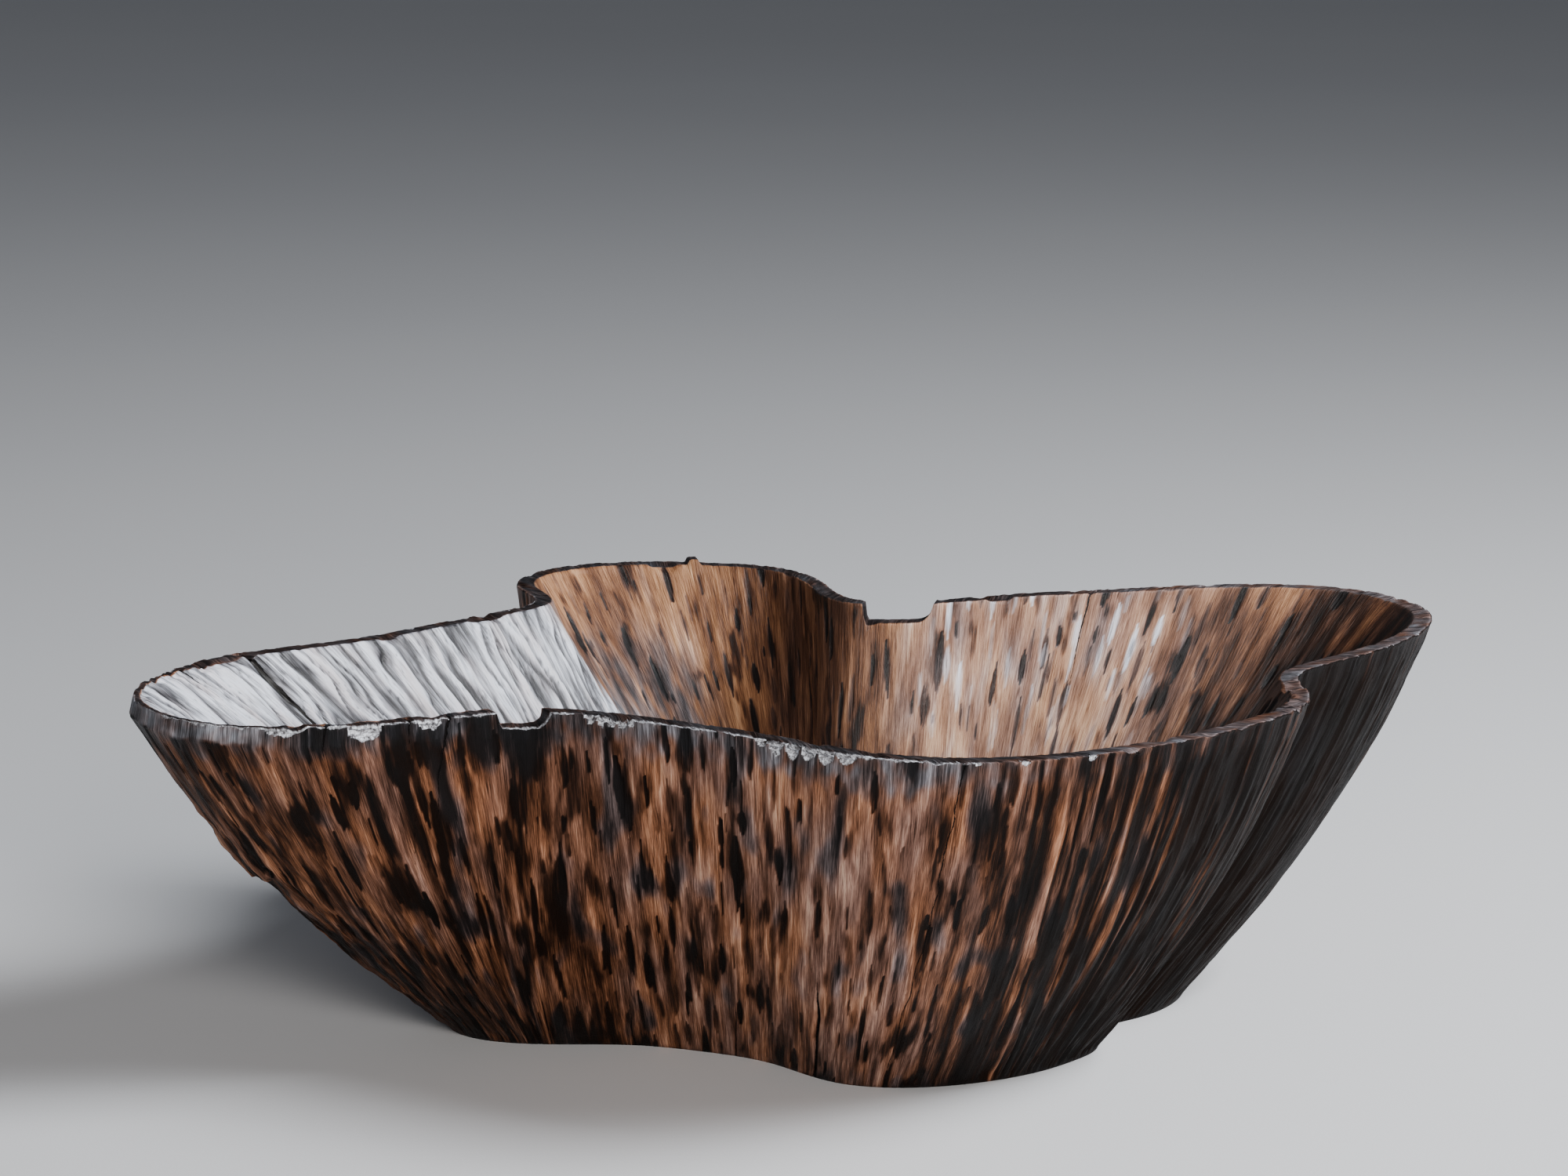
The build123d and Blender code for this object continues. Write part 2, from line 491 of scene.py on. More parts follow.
def lenses(place, side, seed, width, length, gaps, amount=1.0):
    """Scattered marks shaped like lenses that lie along the grain: up to 1 in a mark, 0 between.

    Width and length are ranges in mm, and gaps the mean spacing across and along the grain.
    """
    rng = np.random.default_rng(SEED * 100 + seed)
    field = np.zeros(place.arc.shape)
    used = np.flatnonzero(place.outside[:, 0] if side == "out" else place.inside[:, 0])
    rows = slice(used[0], used[-1] + 1)
    run = place.run[rows] / MM
    column_width = RIM_LENGTH / COLUMNS / MM
    margin = 2
    for arc in np.arange(0, RIM_LENGTH / MM, gaps[0]):
        for along in np.arange(run.min() + rng.uniform(0, gaps[1]), run.max(), gaps[1]):
            middle = arc + rng.uniform(-0.5, 0.5) * gaps[0]
            height = along + rng.uniform(-0.5, 0.5) * gaps[1]
            half_width, half_length = rng.uniform(*width) / 2, rng.uniform(*length) / 2
            lean, strength = rng.normal(0, 0.03), rng.uniform(0.25, 1)
            if rng.uniform() > amount:
                continue
            first = int((middle - half_width - margin) / column_width)
            last = int((middle + half_width + margin) / column_width) + 1
            near = np.arange(first, last + 1)
            block = run[:, near % COLUMNS]
            up = (block - height) / half_length
            out = np.abs(near * column_width - middle - lean * (block - height)) / half_width
            depth = 1 - out / np.maximum(1 - up * up, 0.001)
            mark = strength * smooth_step(0, 0.6, depth) * (np.abs(up) < 1)
            field[rows, near % COLUMNS] = np.maximum(field[rows, near % COLUMNS], mark)
    return field


def carve_outside(place):
    """Height of the tool marks and weathering on the outer wall, in mm, and its dark slots."""
    long_strokes = place.stretch(*FURROWED)
    sway = place.sway(OUTER_SWAY)
    broad = 1.1 * place.noise(30, 75, 12, 2)
    short = -0.9 * np.abs(place.noise(8, 32, 13, 1, sway))
    long = -2.0 * np.abs(place.noise(6, 90, 14, 1, sway))
    long = long - 0.6 * np.abs(place.noise(3.2, 60, 19, 1, sway))
    strokes = short * (1 - long_strokes) + long * long_strokes
    slots = lenses(place, "out", 1, (2.8, 6.0), (13, 36), (11, 30), 0.85)
    slots = np.maximum(slots, 0.8 * lenses(place, "out", 2, (1.4, 3.0), (8, 24), (9, 20), 0.55))
    slots = np.maximum(slots, 0.55 * lenses(place, "out", 7, (4.0, 9.0), (24, 60), (16, 40), 0.7))
    slots *= np.clip(0.8 + 0.9 * place.noise(20, 34, 20, 2), 0.15, 1)
    slots *= 1 - 0.6 * long_strokes
    furrows = lenses(place, "out", 3, (2.0, 4.2), (45, 110), (7.5, 50)) * long_strokes
    slots = np.maximum(slots, furrows)
    ridges = 0.28 * place.noise(2.4, 30, 17, 2, sway)
    left_foot = place.stretch(150, 206, 12) * smooth_step(120, 70, place.height)
    bark = left_foot * (1.9 * place.noise(11, 15, 18, 3) - 0.5)
    torn_edge = place.height + 14 * place.noise(16, 16, 36, 3)
    flake = smooth_step(74, 76, torn_edge) * smooth_step(104, 78, torn_edge)
    bark += 2.2 * place.stretch(168, 202, 5) * flake
    calm = 0.5 + 0.5 * smooth_step(2, 16, place.below_rim)
    return calm * (broad + strokes + ridges) - 0.9 * slots + bark, slots


def combed_stretch(place, blur):
    """1 on the combed stretch of the cavity's wall, which widens downwards: weathered grey with
    painted sheen.
    """
    down = smooth_step(4, 75, place.below_rim)
    waver = (2.2 + 3.5 * down) * place.noise(5, 34, 29, 2)
    start, end = 136.5 - 13 * down, 204
    away = place.degrees_from((start + end) / 2) + waver
    half = (end - start) / 2
    return 1 - smooth_step(half - blur / 2, half + blur / 2 + 9 * down, away)


def carve_inside(place):
    """Height of the tool marks on the cavity's wall, in mm, its dark scoops and combed ridges."""
    combed = combed_stretch(place, 3)
    sway = 7.0 * place.noise(17, 30, 21, 2)
    band = np.abs(place.noise(5.2, 80, 22, 1, sway))
    fine = np.abs(place.noise(2.6, 44, 23, 1, sway))
    comb = 1.6 * np.minimum(band, 0.4) + 0.6 * np.minimum(fine, 0.3) - 0.42
    lines = np.maximum(1 - band / 0.34, 0.75 * (1 - fine / 0.30)) * combed
    lines *= smooth_step(118, 80, place.below_rim)
    sway = place.sway(INNER_SWAY)
    strokes = -1.0 * np.abs(place.noise(8, 36, 25, 1, sway))
    scoops = lenses(place, "in", 4, (3.0, 6.5), (10, 26), (11, 24), 0.62)
    scoops = np.maximum(scoops, 0.8 * lenses(place, "in", 5, (1.6, 3.0), (6, 15), (9, 17), 0.4))
    scoops = np.maximum(scoops * (1 - combed), np.clip(0.56 * lines, 0, 1))
    ridges = 0.25 * place.noise(2.6, 34, 27, 2, sway)
    broad = 0.9 * place.noise(34, 80, 28, 2)
    calm = 0.5 + 0.5 * smooth_step(1, 10, place.below_rim)
    carved = strokes + ridges + broad - 0.9 * scoops
    return calm * (2.3 * comb * combed + carved * (1 - combed)), scoops, comb * combed


def chips(place):
    """Depth and paleness of the scalloped chips and of the fine wear on the rim's outer edge.

    Both are 1 at most. The paleness is partly the broken wood's own and partly a painted highlight.
    """
    down = np.where(place.outside, place.below_rim, 0)

    def bitten(reach, least):
        return np.clip(1 - down / np.maximum(reach, 0.01), 0, 1) * (reach > least)

    depth = np.zeros(place.arc.shape)
    ragged = 1 + 0.5 * place.noise(3, 3, 33, 2)
    for middle, width, drop in CHIPS:
        along = place.degrees_from(middle) / width
        reach = 1.25 * drop * ragged * np.sqrt(np.clip(1 - along**2, 0, 1))
        depth = np.maximum(depth, bitten(reach, 0.3))
    pale = smooth_step(0.04, 0.3, depth)
    wear = -0.3 + 2.8 * place.noise(7, 7, 34, 3) + 1.2 * place.stretch(206, 284, 6)
    worn = bitten(wear, 0.15)
    depth = np.maximum(depth, 0.25 * worn)
    plain = place.stretch(-70, 130, 8)
    pale = np.maximum(pale, (0.7 - 0.45 * plain) * worn)
    return depth * place.edge_share, pale * place.edge_share


def rim_drop(place):
    """How far the rim's face is broken down below its sawn height, in mm."""
    tip = place.stretch(184, 196, 2)
    cusp = place.stretch(332, 348, 3)
    drop = 0.7 * np.abs(place.noise(5, 8, 35, 2))
    drop += 3.0 * np.maximum(tip, cusp) * np.abs(place.noise(5, 9, 37, 2))
    drop += 1.2 * smooth_step(0.3, 0.6, place.noise(14, 14, 39))
    knob = 2.4 * place.stretch(104.6, 105.4, 0.5)
    return (drop - knob) * (1 - smooth_step(0, 3.5, place.below_rim))


def crack_fields(place):
    """Signed distance across the nearest crack and that crack's width, in mm."""
    reach = 5
    across = np.full(place.arc.shape, NO_CRACK)
    width = np.zeros(place.arc.shape)
    wander = 1.5 * place.noise(40, 16, 31, 2) + 0.35 * place.noise(20, 5, 32)
    turn = place.turn[0]
    turn_length = RIM_LENGTH / MM
    down = place.below_rim
    for start, side, top, bottom, drift, wide in CRACKS:
        ahead = np.interp(start, np.sort(turn), np.argsort(turn))
        centre = ahead * RIM_LENGTH / COLUMNS / MM
        share = np.clip((down - top) / (bottom - top), 0, 1)
        gap = place.arc / MM - centre - drift * share - wander
        gap = (gap + turn_length / 2) % turn_length - turn_length / 2
        ends = smooth_step(top, top + 25, down) if top > 0 else np.ones_like(down)
        if bottom < HEIGHT / MM:
            ends = ends * np.clip(1.12 - share, 0, 1) ** 1.5 * (down < bottom)
        on = (place.inside if side == "in" else place.outside) | (place.rim & (top == 0))
        near = on & (np.abs(gap) < reach) & (np.abs(gap) < np.abs(across)) & (ends > 0)
        across = np.where(near, gap, across)
        width = np.where(near, wide * ends, width)
    return across, width


# ---------------------------------------------------------------- colour fields


def tint_outside(place, slots):
    """Lightness, warmth, greyness, polish and dark marks of the outer wall."""
    sway = place.sway(OUTER_SWAY)
    marks = place.noise(5.5, 38, 41, 2, sway)
    long_marks = place.noise(5, 95, 44, 3, sway)
    long_strokes = place.stretch(*FURROWED)
    marks = marks * (1 - long_strokes) + long_marks * long_strokes
    left = place.stretch(150, 228, 10)
    char = smooth_step(0.0, 0.42, place.noise(9, 34, 47, 3, sway) + 0.05 * left)
    tone = 0.645 + 0.38 * marks + 0.14 * place.noise(2.0, 18, 49, 2, sway)
    tone = tone - 0.16 * char - 0.30 * slots
    mark = np.clip(slots + 0.50 * char, 0, 1)
    tone -= long_strokes * (0.26 - 0.60 * long_marks) + 0.32 * place.stretch(318, 354, 20)
    # Painted shade: darker towards the foot, over the left lobe, which faces away from the light,
    # and on the right flank under the cusp, which faces down
    tone -= 0.14 * long_strokes * smooth_step(75, 15, place.height)
    tone -= 0.12 * left + 0.08 * left * smooth_step(95, 35, place.height)
    tone -= 0.10 * smooth_step(42, 4, place.height)
    tone -= 0.46 * place.stretch(345, 380, 7)
    front = 0.3 + 0.7 * place.stretch(190, 284, 10)
    under_rim = 1 - smooth_step(3, 15, place.below_rim + 9 * place.noise(8, 14, 48, 2))
    under_rim *= front
    scorched = place.stretch(205, 231, 4)
    tone = tone * (1 - 0.55 * under_rim) + (0.22 - 0.15 * scorched) * under_rim
    warm = 0.42 + 1.5 * place.noise(12, 44, 51, 2) + 0.3 * place.stretch(150, 232, 14)
    warm += 0.25 * long_strokes
    warm = np.clip(warm, 0, 1) * (1 - under_rim)
    grey = np.clip(under_rim * (0.62 + 1.1 * place.noise(5, 9, 53, 2)), 0, 0.85)
    smoke = np.clip(1.5 * place.noise(13, 30, 60, 2) - 0.25, 0, 0.5)
    tone -= 0.55 * smoke
    grey = np.maximum(grey, smoke)
    band_depth = place.below_rim + 1.2 * place.noise(6, 6, 55)
    band = place.edged(186, 209, 3, 56) * (1 - smooth_step(5.5, 7.5, band_depth))
    tone = tone * (1 - band) + band * (0.56 + 0.35 * place.noise(9, 9, 58, 3))
    grey = np.maximum(grey, np.clip(0.7 + 0.9 * place.noise(7, 7, 65, 2), 0.2, 1) * band)
    polish = np.clip(0.4 + 0.6 * slots + 0.4 * under_rim, 0, 1)
    return tone, warm, grey, polish, mark * (1 - 0.8 * band)


def tint_inside(place, scoops, comb):
    """Lightness, warmth, greyness, polish and dark marks of the cavity's wall, with painted sheen
    and glints.
    """
    marks = place.noise(6, 30, 54, 2, place.sway(INNER_SWAY))
    patch = place.noise(20, 44, 57, 2)
    combed = combed_stretch(place, 4)
    char = smooth_step(0.05, 0.5, place.noise(9, 26, 66, 3)) * (1 - combed)
    orange = place.stretch(103, 131, 6)
    dark = place.stretch(70, 98, 7)
    tan = place.stretch(45, 66, 9)
    # Painted highlights: short silvery glints near the top of the right lobe's wall, the light's
    # reflection in its dimples, which make the wall lighter, greyer and glossier there
    painted_glints = lenses(place, "in", 6, (2.4, 5.0), (9, 24), (8.5, 22), 0.9)
    painted_glints *= place.stretch(42, 63, 5)
    painted_glints *= 1 - 0.7 * smooth_step(20, 50, place.below_rim)
    # The combed stretch is painted lighter, and lighter again on the comb's ridges: weathered grey
    # wood with a painted sheen that stands for the light's reflection on its wax
    tone = 0.56 + 0.08 * orange - 0.06 * dark + 0.22 * tan + 0.25 * combed
    tone += (0.30 * marks + 0.22 * patch) * (1 - 0.4 * combed) - 0.18 * scoops + 0.45 * comb
    tone += 0.16 * painted_glints - 0.30 * place.stretch(-30, 26, 14) - 0.10 * char
    fade = place.stretch(112, 136, 7) * smooth_step(10, 46, place.below_rim)
    fade = np.clip(fade * (0.5 + 1.3 * place.noise(5, 20, 69, 2)), 0, 1)
    tone -= 0.26 * fade
    # The painted sheen fades lower down the combed stretch, which is darker there
    low = smooth_step(45, 95, place.below_rim)
    tone -= 0.22 * low * combed
    warm = 0.45 + 0.55 * orange + 0.35 * dark - 0.15 * tan + 0.7 * patch
    warm = np.clip(warm, 0, 1) * (1 - combed)
    # Silvery grey of the combed stretch: partly weathered wood, partly a painted reflection
    silver_grey_and_sheen = combed * (0.86 + 0.45 * place.noise(9, 22, 64, 2)) * (1 - 0.75 * low)
    smoky = 0.4 * tan * (0.1 + 1.1 * place.noise(7, 24, 59, 2)) + 0.4 * np.clip(scoops, 0, 1)
    grey = np.clip(silver_grey_and_sheen + painted_glints + smoky + 0.8 * fade, 0, 1)
    polish = np.clip(0.4 + 0.6 * combed + 0.3 * tan + 0.4 * scoops + painted_glints, 0, 1)
    mark = np.clip(np.maximum(0.8 * scoops, scoops * combed) + 0.55 * char, 0, 1)
    return tone, warm, grey, polish, mark * (1 - 0.7 * painted_glints)


def tint_rim(place):
    """The same five fields on the rim's face, which is painted dark.

    It is paler along its outer edge and, at the left end, freshly worn along the inner one.
    """
    strip = np.clip(place.edge_share * 1.3 + 0.4 * place.noise(6, 6, 61, 2), 0, 1)
    right = place.stretch(-50, 40, 12)
    tone = 0.20 + 0.16 * right + 0.34 * strip * place.edge_share + 0.20 * place.noise(5, 5, 63, 3)
    fresh = place.inner_share * place.stretch(182, 226, 4) * (0.8 + 0.9 * place.noise(12, 12, 68))
    fresh = np.clip(1.6 * fresh, 0, 1)
    tone += (0.66 - tone) * fresh
    grey = np.clip(0.55 + 0.8 * place.noise(9, 9, 67, 2), 0, 1) * (1 - fresh)
    none = 0 * tone
    return tone, 0.5 + 0.5 * fresh, grey, 0.35 + none, none


def carved_bowl(place):
    """The grid's points after carving, and the fields its material reads."""
    outside, slots = carve_outside(place)
    inside, scoops, comb = carve_inside(place)
    chip, pale = chips(place)
    across, width = crack_fields(place)
    relief = np.where(place.outside, outside, np.where(place.inside, inside, 0))
    near_edge = smooth_step(0, 2.5, np.abs(place.below_rim))
    relief *= np.where(place.rim, 0, 0.3 + 0.7 * near_edge)
    groove = width * 1.1 * np.clip(1 - np.abs(across) / np.maximum(width, 1.3), 0, 1)
    relief = relief - 2.4 * chip - groove
    foot = smooth_step(0, 4, place.height)
    points = place.rows + place.normals * (relief * foot * MM)[:, :, None]
    points[:, :, 2] -= rim_drop(place) * MM
    points[0, :, 2] = 0
    fields = []
    tints = tint_outside(place, slots), tint_rim(place), tint_inside(place, scoops, comb)
    for out, rim, within in zip(*tints):
        fields.append(np.where(place.outside, out, np.where(place.inside, within, rim)))
    tone, warm, grey, polish, mark = fields
    tone = tone + 0.10 * relief * (~place.rim)
    return points, {
        "tone": tone,
        "warm": warm,
        "grey": grey,
        "polish": polish,
        "mark": mark,
        "chip": pale,
        "crack_across": across,
        "crack_width": width,
    }


# ---------------------------------------------------------------- mesh


def inside_points(edge, spacing):
    """Staggered points at least a spacing inside a closed level outline."""
    low, high = edge.min(0), edge.max(0)
    closed = np.vstack([edge, edge[:1]])
    found = []
    for row, y in enumerate(np.arange(low[1] + spacing, high[1], spacing)):
        xs = np.arange(low[0] + row % 2 * spacing / 2, high[0], spacing)
        cut = (closed[:-1, 1] > y) != (closed[1:, 1] > y)
        a, b = closed[:-1][cut], closed[1:][cut]
        cuts = np.sort(a[:, 0] + (y - a[:, 1]) / (b[:, 1] - a[:, 1]) * (b[:, 0] - a[:, 0]))
        for left, right in zip(cuts[::2], cuts[1::2]):
            found += [(x, y) for x in xs[(xs > left + spacing / 2) & (xs < right - spacing / 2)]]
    return np.array(found)


def cap(edge, first, spacing, base, faces_up):
    """Inner points and faces that close a level outline whose vertex numbers start at first."""
    inner = inside_points(edge, spacing)
    count = len(edge)
    points = [Vector(point) for point in np.vstack([edge, inner])]
    ring = [(i, (i + 1) % count) for i in range(count)]
    inside_only, tolerance = 1, 1e-9
    made = geometry.delaunay_2d_cdt(points, ring, [], inside_only, tolerance)
    faces, sources = made[2], [source[0] for source in made[3]]
    number = [at + first if at < count else at - count + base for at in sources]
    faces = [tuple(number[i] for i in face) for face in faces]
    return inner, faces if faces_up else [face[::-1] for face in faces]


def cap_fields(inner, place, row, deeper, seed, wall):
    """Grain space, material fields and relief in mm over a cap.

    The grain lines run on to the cap's middle, and the wall's fields fade out over its edge.
    """
    edge = place.rows[row][:, :2]
    marks = bearing(edge)
    order = np.argsort(marks)
    column = np.interp(bearing(inner), marks[order], order.astype(float)).astype(int) % COLUMNS
    reach = np.linalg.norm(inner - AXIS, axis=1)
    left = np.linalg.norm(edge[column] - AXIS, axis=1) - reach
    arc = place.arc[0][column]
    run = place.run[row][column] + deeper * left
    middle = smooth_step(10, 45, reach / MM)
    flat = np.column_stack([inner / (18 * MM), np.zeros(len(inner))])
    tone = 0.45 + 0.3 * middle * grain_noise(arc, run, 9, 40, seed, 3)
    tone += 0.2 * layered(flat, seed + 3, 3)
    mark = np.clip(1.2 * middle * grain_noise(arc, run, 7, 26, seed + 5, 2) - 0.1, 0, 1)
    zero = np.zeros(len(inner))
    fields = {
        "tone": tone,
        "warm": zero + 0.35,
        "grey": zero + 0.1,
        "polish": zero + 0.4,
        "mark": mark,
        "chip": zero,
        "crack_across": zero + NO_CRACK,
        "crack_width": zero,
    }
    own = smooth_step(0, 22, left / MM + 7 * grain_noise(arc, run, 5, 30, seed + 7, 2))
    for name in ("tone", "warm", "grey", "polish", "mark"):
        fields[name] = wall[name][row][column] * (1 - own) + fields[name] * own
    hollow = 0.3 + 0.7 * middle * np.abs(grain_noise(arc, run, 10, 40, seed + 6))
    relief = -hollow * smooth_step(0, 6, left / MM)
    return wrapped(arc, run), fields, relief


def wall_faces(numbers):
    """Four-sided faces over the whole grid, from its vertex numbers."""
    here, there = numbers[:-1], numbers[1:]
    quads = np.stack([here, np.roll(here, -1, 1), np.roll(there, -1, 1), there], -1)
    return [tuple(quad) for quad in quads.reshape(-1, 4).tolist()]


def inner_faces(count, cap_starts):
    """Which faces have the inner wood: those of the cavity's wall and of its floor."""
    face = np.arange(count)
    outer_cap_start, inner_cap_start = cap_starts
    wall = (face // COLUMNS >= OUTSIDE_ROWS + RIM_ROWS - 1) & (face < outer_cap_start)
    return wall | (face >= inner_cap_start)


def add_attribute(mesh, name, kind, key, values):
    """Values of one attribute, stored at the mesh's vertices."""
    attribute = mesh.attributes.new(name, kind, "POINT")
    attribute.data.foreach_set(key, values.astype(np.float32).ravel())


def build_bowl():
    """The whole bowl as one closed mesh, with the fields that its materials read."""
    rows, tops = draw_grid()
    place = Place(eased_rim(rows), tops)
    points, fields = carved_bowl(place)
    count = len(points) * COLUMNS
    numbers = np.arange(count).reshape(len(points), COLUMNS)
    faces = wall_faces(numbers)
    vertices = [points.reshape(-1, 3)]
    grain = [wrapped(place.arc, place.run).reshape(-1, 3)]
    values = {name: [field.reshape(-1)] for name, field in fields.items()}
    cap_starts = []
    for row, spacing, deeper, seed, faces_up in CAPS:
        edge = points[row]
        first = numbers[row][0]
        inner, cap_faces = cap(edge[:, :2], first, spacing, count, faces_up)
        space, more, relief = cap_fields(inner, place, row, deeper, seed, fields)
        height = edge[:, 2].mean() + (1 if faces_up else -1) * relief * MM
        vertices.append(np.column_stack([inner, height]))
        grain.append(space)
        for name, field in more.items():
            values[name].append(field)
        cap_starts.append(len(faces))
        faces += cap_faces
        count += len(inner)
    mesh = bpy.data.meshes.new("bowl_wood")
    mesh.from_pydata(np.vstack(vertices).tolist(), [], faces)
    mesh.shade_smooth()
    inner = inner_faces(len(faces), cap_starts)
    mesh.polygons.foreach_set("material_index", inner.astype(np.int32))
    add_attribute(mesh, "grain", "FLOAT_VECTOR", "vector", np.vstack(grain))
    for name, field in values.items():
        add_attribute(mesh, name, "FLOAT", "value", np.concatenate(field))
    bowl = bpy.data.objects.new("bowl_wood", mesh)
    bpy.context.scene.collection.objects.link(bowl)
    return bowl


# ---------------------------------------------------------------- materials


class Shader:
    """A node material under construction."""

    def __init__(self, name):
        self.material = bpy.data.materials.new(name)
        self.material.use_nodes = True
        self.tree = self.material.node_tree
        self.tree.nodes.clear()

    def node(self, kind, inputs=(), **settings):
        """A new node, with each input linked to a socket or set to a value."""
        made = self.tree.nodes.new(kind)
        for name, value in settings.items():
            setattr(made, name, value)
        for key, value in dict(inputs).items():
            if isinstance(value, bpy.types.NodeSocket):
                self.tree.links.new(value, made.inputs[key])
            else:
                made.inputs[key].default_value = value
        return made

    def attribute(self, name, output="Fac"):
        """One of the fields stored on the mesh."""
        return self.node("ShaderNodeAttribute", attribute_name=name).outputs[output]

    def math(self, operation, first, second=0.0, clamp=False):
        inputs = {0: first, 1: second}
        made = self.node("ShaderNodeMath", inputs, operation=operation, use_clamp=clamp)
        return made.outputs[0]

    def plus(self, first, second, clamp=False):
        return self.math("ADD", first, second, clamp)

    def minus(self, first, second):
        return self.math("SUBTRACT", first, second)

    def times(self, first, second, clamp=False):
        return self.math("MULTIPLY", first, second, clamp)

    def noise(self, space, across, along, detail=3.0, roughness=0.55):
        """Noise from 0 to 1 in grain space, with marks of the given size in mm."""
        scale = (1 / (across * MM), 1 / (across * MM), 1 / (along * MM))
        scaled = self.node("ShaderNodeVectorMath", {0: space, 1: scale}, operation="MULTIPLY")
        inputs = {"Vector": scaled.outputs[0], "Scale": 1.0}
        inputs.update({"Detail": detail, "Roughness": roughness})
        return self.node("ShaderNodeTexNoise", inputs).outputs[0]

    def ramp(self, value, stops):
        """Colour read off a row of stops, each a position and a colour."""
        made = self.node("ShaderNodeValToRGB", {0: value})
        elements = made.color_ramp.elements
        while len(elements) < len(stops):
            elements.new(0.5)
        for element, (position, colour) in zip(elements, stops):
            element.position = position
            element.color = (*colour, 1)
        return made.outputs[0]

    def mix(self, share, first, second):
        """The first colour with a share of the second one mixed in."""
        made = self.node("ShaderNodeMix", data_type="RGBA")
        for index, value in ((0, share), (6, first), (7, second)):
            if isinstance(value, bpy.types.NodeSocket):
                self.tree.links.new(value, made.inputs[index])
            else:
                made.inputs[index].default_value = value if index == 0 else (*value, 1)
        return made.outputs[2]

    def finish(self, colour, roughness, height, **surface):
        """The material, with its relief from a height in metres."""
        inputs = {"Base Color": colour, "Roughness": roughness}
        shader = self.node("ShaderNodeBsdfPrincipled", inputs)
        for name, value in surface.items():
            shader.inputs[name.replace("_", " ")].default_value = value
        bump = self.node("ShaderNodeBump", {"Height": height, "Distance": 1.0, "Strength": 1.0})
        self.tree.links.new(bump.outputs[0], shader.inputs["Normal"])
        output = self.node("ShaderNodeOutputMaterial")
        self.tree.links.new(shader.outputs[0], output.inputs[0])
        return self.material


# Colour ramps: wood from its darkest to its lightest, a grey, and the broken wood of the chips,
# painted lit and shaded
BROWN = (
    (0.0, (0.0035, 0.0025, 0.0022)),
    (0.2, (0.012, 0.0055, 0.0038)),
    (0.4, (0.050, 0.023, 0.015)),
    (0.60, (0.132, 0.066, 0.048)),
    (0.80, (0.268, 0.155, 0.117)),
    (1.0, (0.47, 0.30, 0.22)),
)
COPPER = (
    (0.0, (0.005, 0.002, 0.001)),
    (0.2, (0.019, 0.0068, 0.003)),
    (0.4, (0.075, 0.028, 0.0125)),
    (0.60, (0.20, 0.081, 0.040)),
    (0.80, (0.39, 0.190, 0.108)),
    (1.0, (0.58, 0.345, 0.22)),
)
ORANGE = (
    (0.0, (0.005, 0.002, 0.001)),
    (0.2, (0.019, 0.0068, 0.003)),
    (0.4, (0.075, 0.028, 0.0125)),
    (0.60, (0.20, 0.087, 0.038)),
    (0.80, (0.39, 0.201, 0.100)),
    (1.0, (0.58, 0.365, 0.21)),
)
# Grey of weathered wood, also used for the painted sheen of the combed stretch and the painted
# glints
ASH_GREY_AND_SHEEN = (
    (0.0, (0.008, 0.008, 0.009)),
    (0.2, (0.020, 0.020, 0.023)),
    (0.4, (0.066, 0.065, 0.072)),
    (0.60, (0.165, 0.170, 0.190)),
    (0.80, (0.36, 0.375, 0.42)),
    (1.0, (0.66, 0.69, 0.77)),
)
# Pale broken wood of the chips, with painted shade at its dark end and a painted cool highlight at
# its light end
PALE_CHIPS_LIT_AND_SHADED = (
    (0.36, (0.045, 0.042, 0.045)),
    (0.50, (0.31, 0.31, 0.33)),
    (0.64, (0.74, 0.77, 0.83)),
)
CRACK_BLACK = (0.004, 0.003, 0.003)


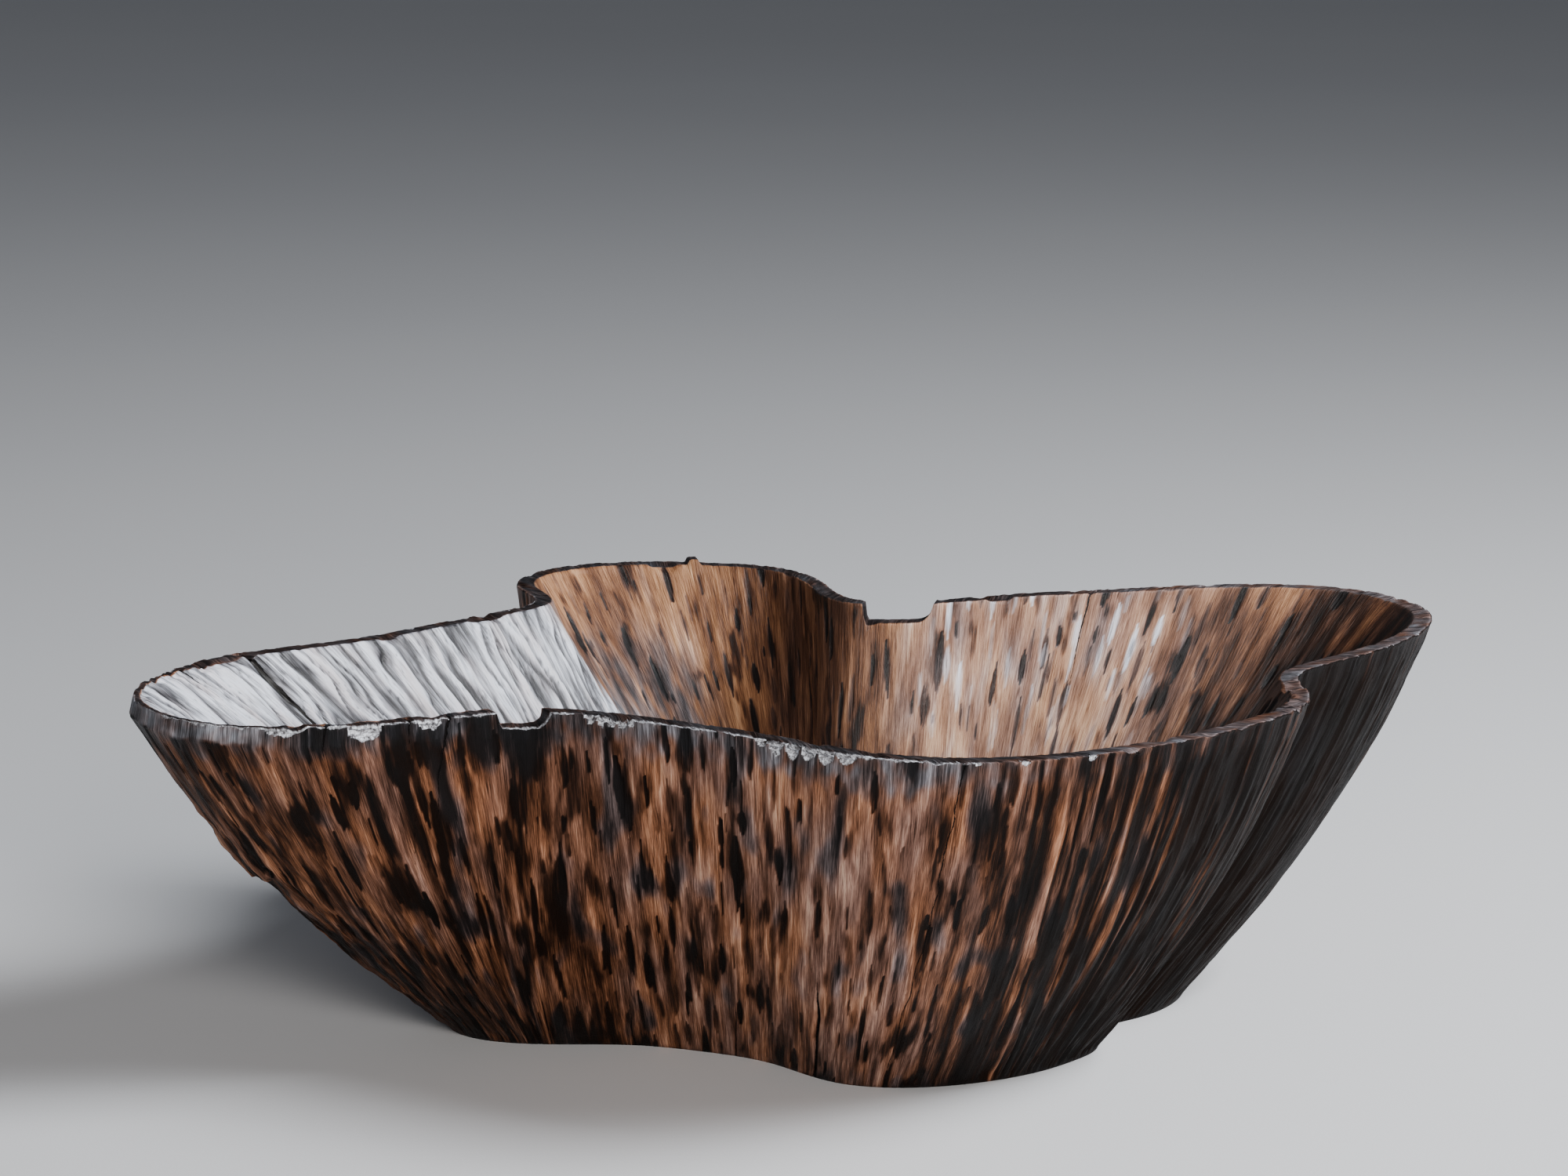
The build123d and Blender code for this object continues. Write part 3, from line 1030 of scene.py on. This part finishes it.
def waxed_wood(name, specular, streaks, warm_ramp):
    """Dark waxed wood whose fibres, streaks and pores run along the grain."""
    shader = Shader(name)
    grain = shader.attribute("grain", "Vector")
    fibre = shader.noise(grain, 0.38, 9, 3.0, 0.65)
    streak = shader.noise(grain, 1.3, 26, 4.0, 0.65)
    fleck = shader.noise(grain, 0.8, 1.6, 3.0, 0.6)
    fibre_off = shader.minus(fibre, 0.5)
    streak_off = shader.minus(streak, 0.5)

    lit = shader.plus(shader.attribute("tone"), shader.times(streak_off, streaks))
    lit = shader.plus(lit, shader.times(fibre_off, 0.9))
    torn = shader.plus(shader.times(streak_off, 1.5), fibre_off)
    dark = shader.minus(shader.plus(shader.attribute("mark"), torn), 0.32)
    dark = shader.times(dark, 3.6, clamp=True)
    lit = shader.minus(lit, shader.times(dark, 0.38))
    pore = shader.noise(grain, 0.55, 11, 2.0, 0.5)
    pore = shader.times(shader.minus(0.40, pore), 9.0, clamp=True)
    lit = shader.minus(lit, shader.times(pore, 0.16))
    brown, warm = shader.ramp(lit, BROWN), shader.ramp(lit, warm_ramp)
    colour = shader.mix(shader.attribute("warm"), brown, warm)
    colour = shader.mix(shader.attribute("grey"), colour, shader.ramp(lit, ASH_GREY_AND_SHEEN))

    # Chips and worn rim edge: pale broken wood with a painted cool highlight, and painted shade
    # within the chips
    worn = shader.plus(shader.times(shader.attribute("chip"), 1.6), fleck)
    worn = shader.times(shader.minus(worn, 0.75), 2.2, clamp=True)
    broken = shader.ramp(shader.noise(grain, 1.6, 1.3, 3.0, 0.7), PALE_CHIPS_LIT_AND_SHADED)
    colour = shader.mix(worn, colour, broken)

    gap = shader.math("ABSOLUTE", shader.attribute("crack_across"))
    ragged = shader.times(shader.minus(fleck, 0.5), 0.9)
    half = shader.times(shader.attribute("crack_width"), 0.5)
    past = shader.minus(half, shader.plus(gap, ragged))
    open_crack = shader.times(past, 6.0, clamp=True)
    colour = shader.mix(open_crack, colour, CRACK_BLACK)

    roughness = shader.times(shader.attribute("polish"), -0.24)
    roughness = shader.plus(roughness, 0.58)
    roughness = shader.plus(roughness, shader.times(fibre_off, 0.35), clamp=True)
    height = shader.times(fibre, 0.22 * MM)
    height = shader.plus(height, shader.times(streak, 0.6 * MM))
    height = shader.plus(height, shader.times(fleck, 0.12 * MM))
    height = shader.minus(height, shader.times(open_crack, 1.2 * MM))
    return shader.finish(colour, roughness, height, Specular_IOR_Level=specular)


def pale_floor():
    """A plain pale surface, faintly clouded."""
    shader = Shader("pale_floor")
    place = shader.node("ShaderNodeTexCoord").outputs["Object"]
    cloud = shader.noise(place, 900, 900, 2.0, 0.5)
    colour = shader.mix(cloud, (0.60, 0.60, 0.61), (0.64, 0.64, 0.645))
    tooth = shader.noise(place, 1.2, 1.2, 2.0, 0.5)
    return shader.finish(colour, 0.75, shader.times(tooth, 0.04 * MM))


# ---------------------------------------------------------------- stage, light and camera


def build_stage():
    """A wide level floor."""
    corners = ((-1, -1), (1, -1), (1, 1), (-1, 1))
    points = [(x * FLOOR_HALF, y * FLOOR_HALF, 0) for x, y in corners]
    mesh = bpy.data.meshes.new("floor")
    mesh.from_pydata(points, [], [(0, 1, 2, 3)])
    floor = bpy.data.objects.new("floor", mesh)
    bpy.context.scene.collection.objects.link(floor)
    mesh.materials.append(pale_floor())
    return floor


def soft_light(name, place, aim, size, power, colour):
    """A rectangular area light that points at its aim."""
    data = bpy.data.lights.new(name, "AREA")
    data.shape = "RECTANGLE"
    data.size, data.size_y = size
    data.energy = power
    data.color = colour
    light = bpy.data.objects.new(name, data)
    light.location = place
    light.rotation_euler = (Vector(aim) - Vector(place)).to_track_quat("-Z", "Y").to_euler()
    bpy.context.scene.collection.objects.link(light)


def build_lights():
    """A warm light from the front, a cool one from the upper right, and a dim cool sky."""
    low_aim, high_aim = (0, 0, 0.08), (-0.05, 0, 0.1)
    warm, cool = (1.0, 0.96, 0.92), (0.93, 0.96, 1.0)
    soft_light("front", (0.75, -2.3, 0.85), low_aim, (1.0, 0.8), 68, warm)
    soft_light("upper_right", (1.35, -0.35, 1.45), high_aim, (0.8, 0.8), 74, cool)
    world = bpy.data.worlds.new("studio")
    world.use_nodes = True
    background = world.node_tree.nodes["Background"]
    background.inputs[0].default_value = (0.85, 0.9, 1.0, 1)
    background.inputs[1].default_value = 0.14
    bpy.context.scene.world = world


def build_camera():
    """A long lens from the front, tilted a little down."""
    data = bpy.data.cameras.new("camera")
    data.lens = LENS
    data.sensor_width = SENSOR_WIDTH
    camera = bpy.data.objects.new("camera", data)
    camera.location = CAMERA_PLACE
    camera.rotation_euler = (math.radians(90 - CAMERA_TILT), 0, 0)
    bpy.context.scene.collection.objects.link(camera)
    bpy.context.scene.camera = camera


bowl = build_bowl()
bowl.data.materials.append(waxed_wood("outer_wood", 0.06, 0.85, COPPER))
bowl.data.materials.append(waxed_wood("inner_wood", 0.28, 0.42, ORANGE))
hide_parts("bowl")
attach(bowl, "root")
build_stage()
build_lights()
build_camera()
